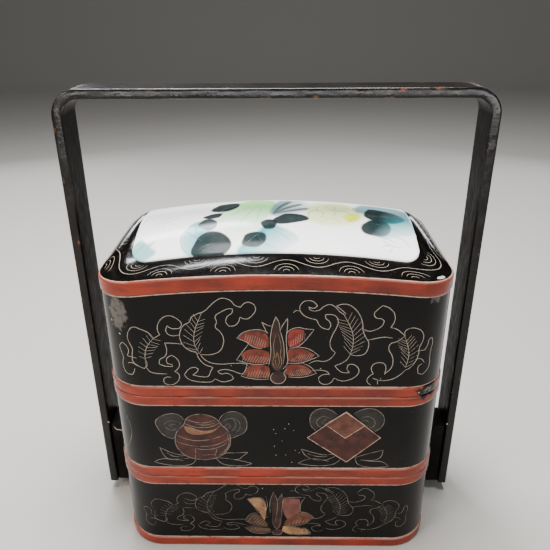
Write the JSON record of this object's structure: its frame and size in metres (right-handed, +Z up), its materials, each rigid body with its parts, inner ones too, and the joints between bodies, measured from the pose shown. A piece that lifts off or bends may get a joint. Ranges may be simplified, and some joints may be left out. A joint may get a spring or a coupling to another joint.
{
  "type": "lacquer stacking lunch box",
  "caption": "Lacquered wooden stacking lunch box: nesting tiers under an arched lid with a set-in porcelain panel, carried between the legs of a tall strap handle.",
  "frame": {"origin": "on the surface that the box stands on, under the middle of the box", "axes": "+Z up, the decorated front looks along -Y, +X to the right as seen from the front; the handle's legs stand on the X axis"},
  "size_m": [0.26, 0.131, 0.3],
  "materials": {
    "box_lacquer": "gloss",
    "handle_lacquer": "satin",
    "porcelain": "gloss"
  },
  "bodies": {
    "root": {"bottom_tier": "box_lacquer", "middle_tier": "box_lacquer", "top_tier": "box_lacquer", "lid": "box_lacquer", "porcelain_panel": "porcelain", "handle": "handle_lacquer", "left_block": "handle_lacquer", "right_block": "handle_lacquer"}
  },
  "joints": []
}
